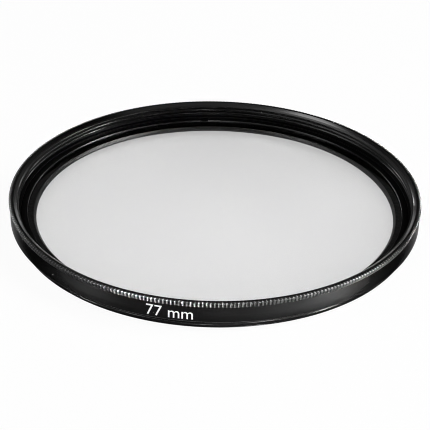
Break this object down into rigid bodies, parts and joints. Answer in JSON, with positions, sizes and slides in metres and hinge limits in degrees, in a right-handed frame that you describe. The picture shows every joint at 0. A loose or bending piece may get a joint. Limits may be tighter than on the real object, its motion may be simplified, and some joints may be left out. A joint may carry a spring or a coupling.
{
  "type": "screw in lens filter",
  "caption": "Round screw in lens filter: a black metal rim with a serrated edge and filter threads holds a flat clear glass disc under a notched retaining ring.",
  "frame": {"origin": "centre of the rear end of the male thread, on the surface that the filter lies on", "axes": "+Z along the optical axis from the lens towards the front of the filter; X and Y are in the plane of the glass"},
  "size_m": [0.08, 0.08, 0.0062],
  "materials": {
    "rim": "black satin anodised",
    "glass": "polished, coated",
    "retainer": "black matt anodised"
  },
  "bodies": {
    "root": {"filter_ring": "rim", "glass_disc": "glass", "retaining_ring": "retainer"}
  },
  "joints": []
}
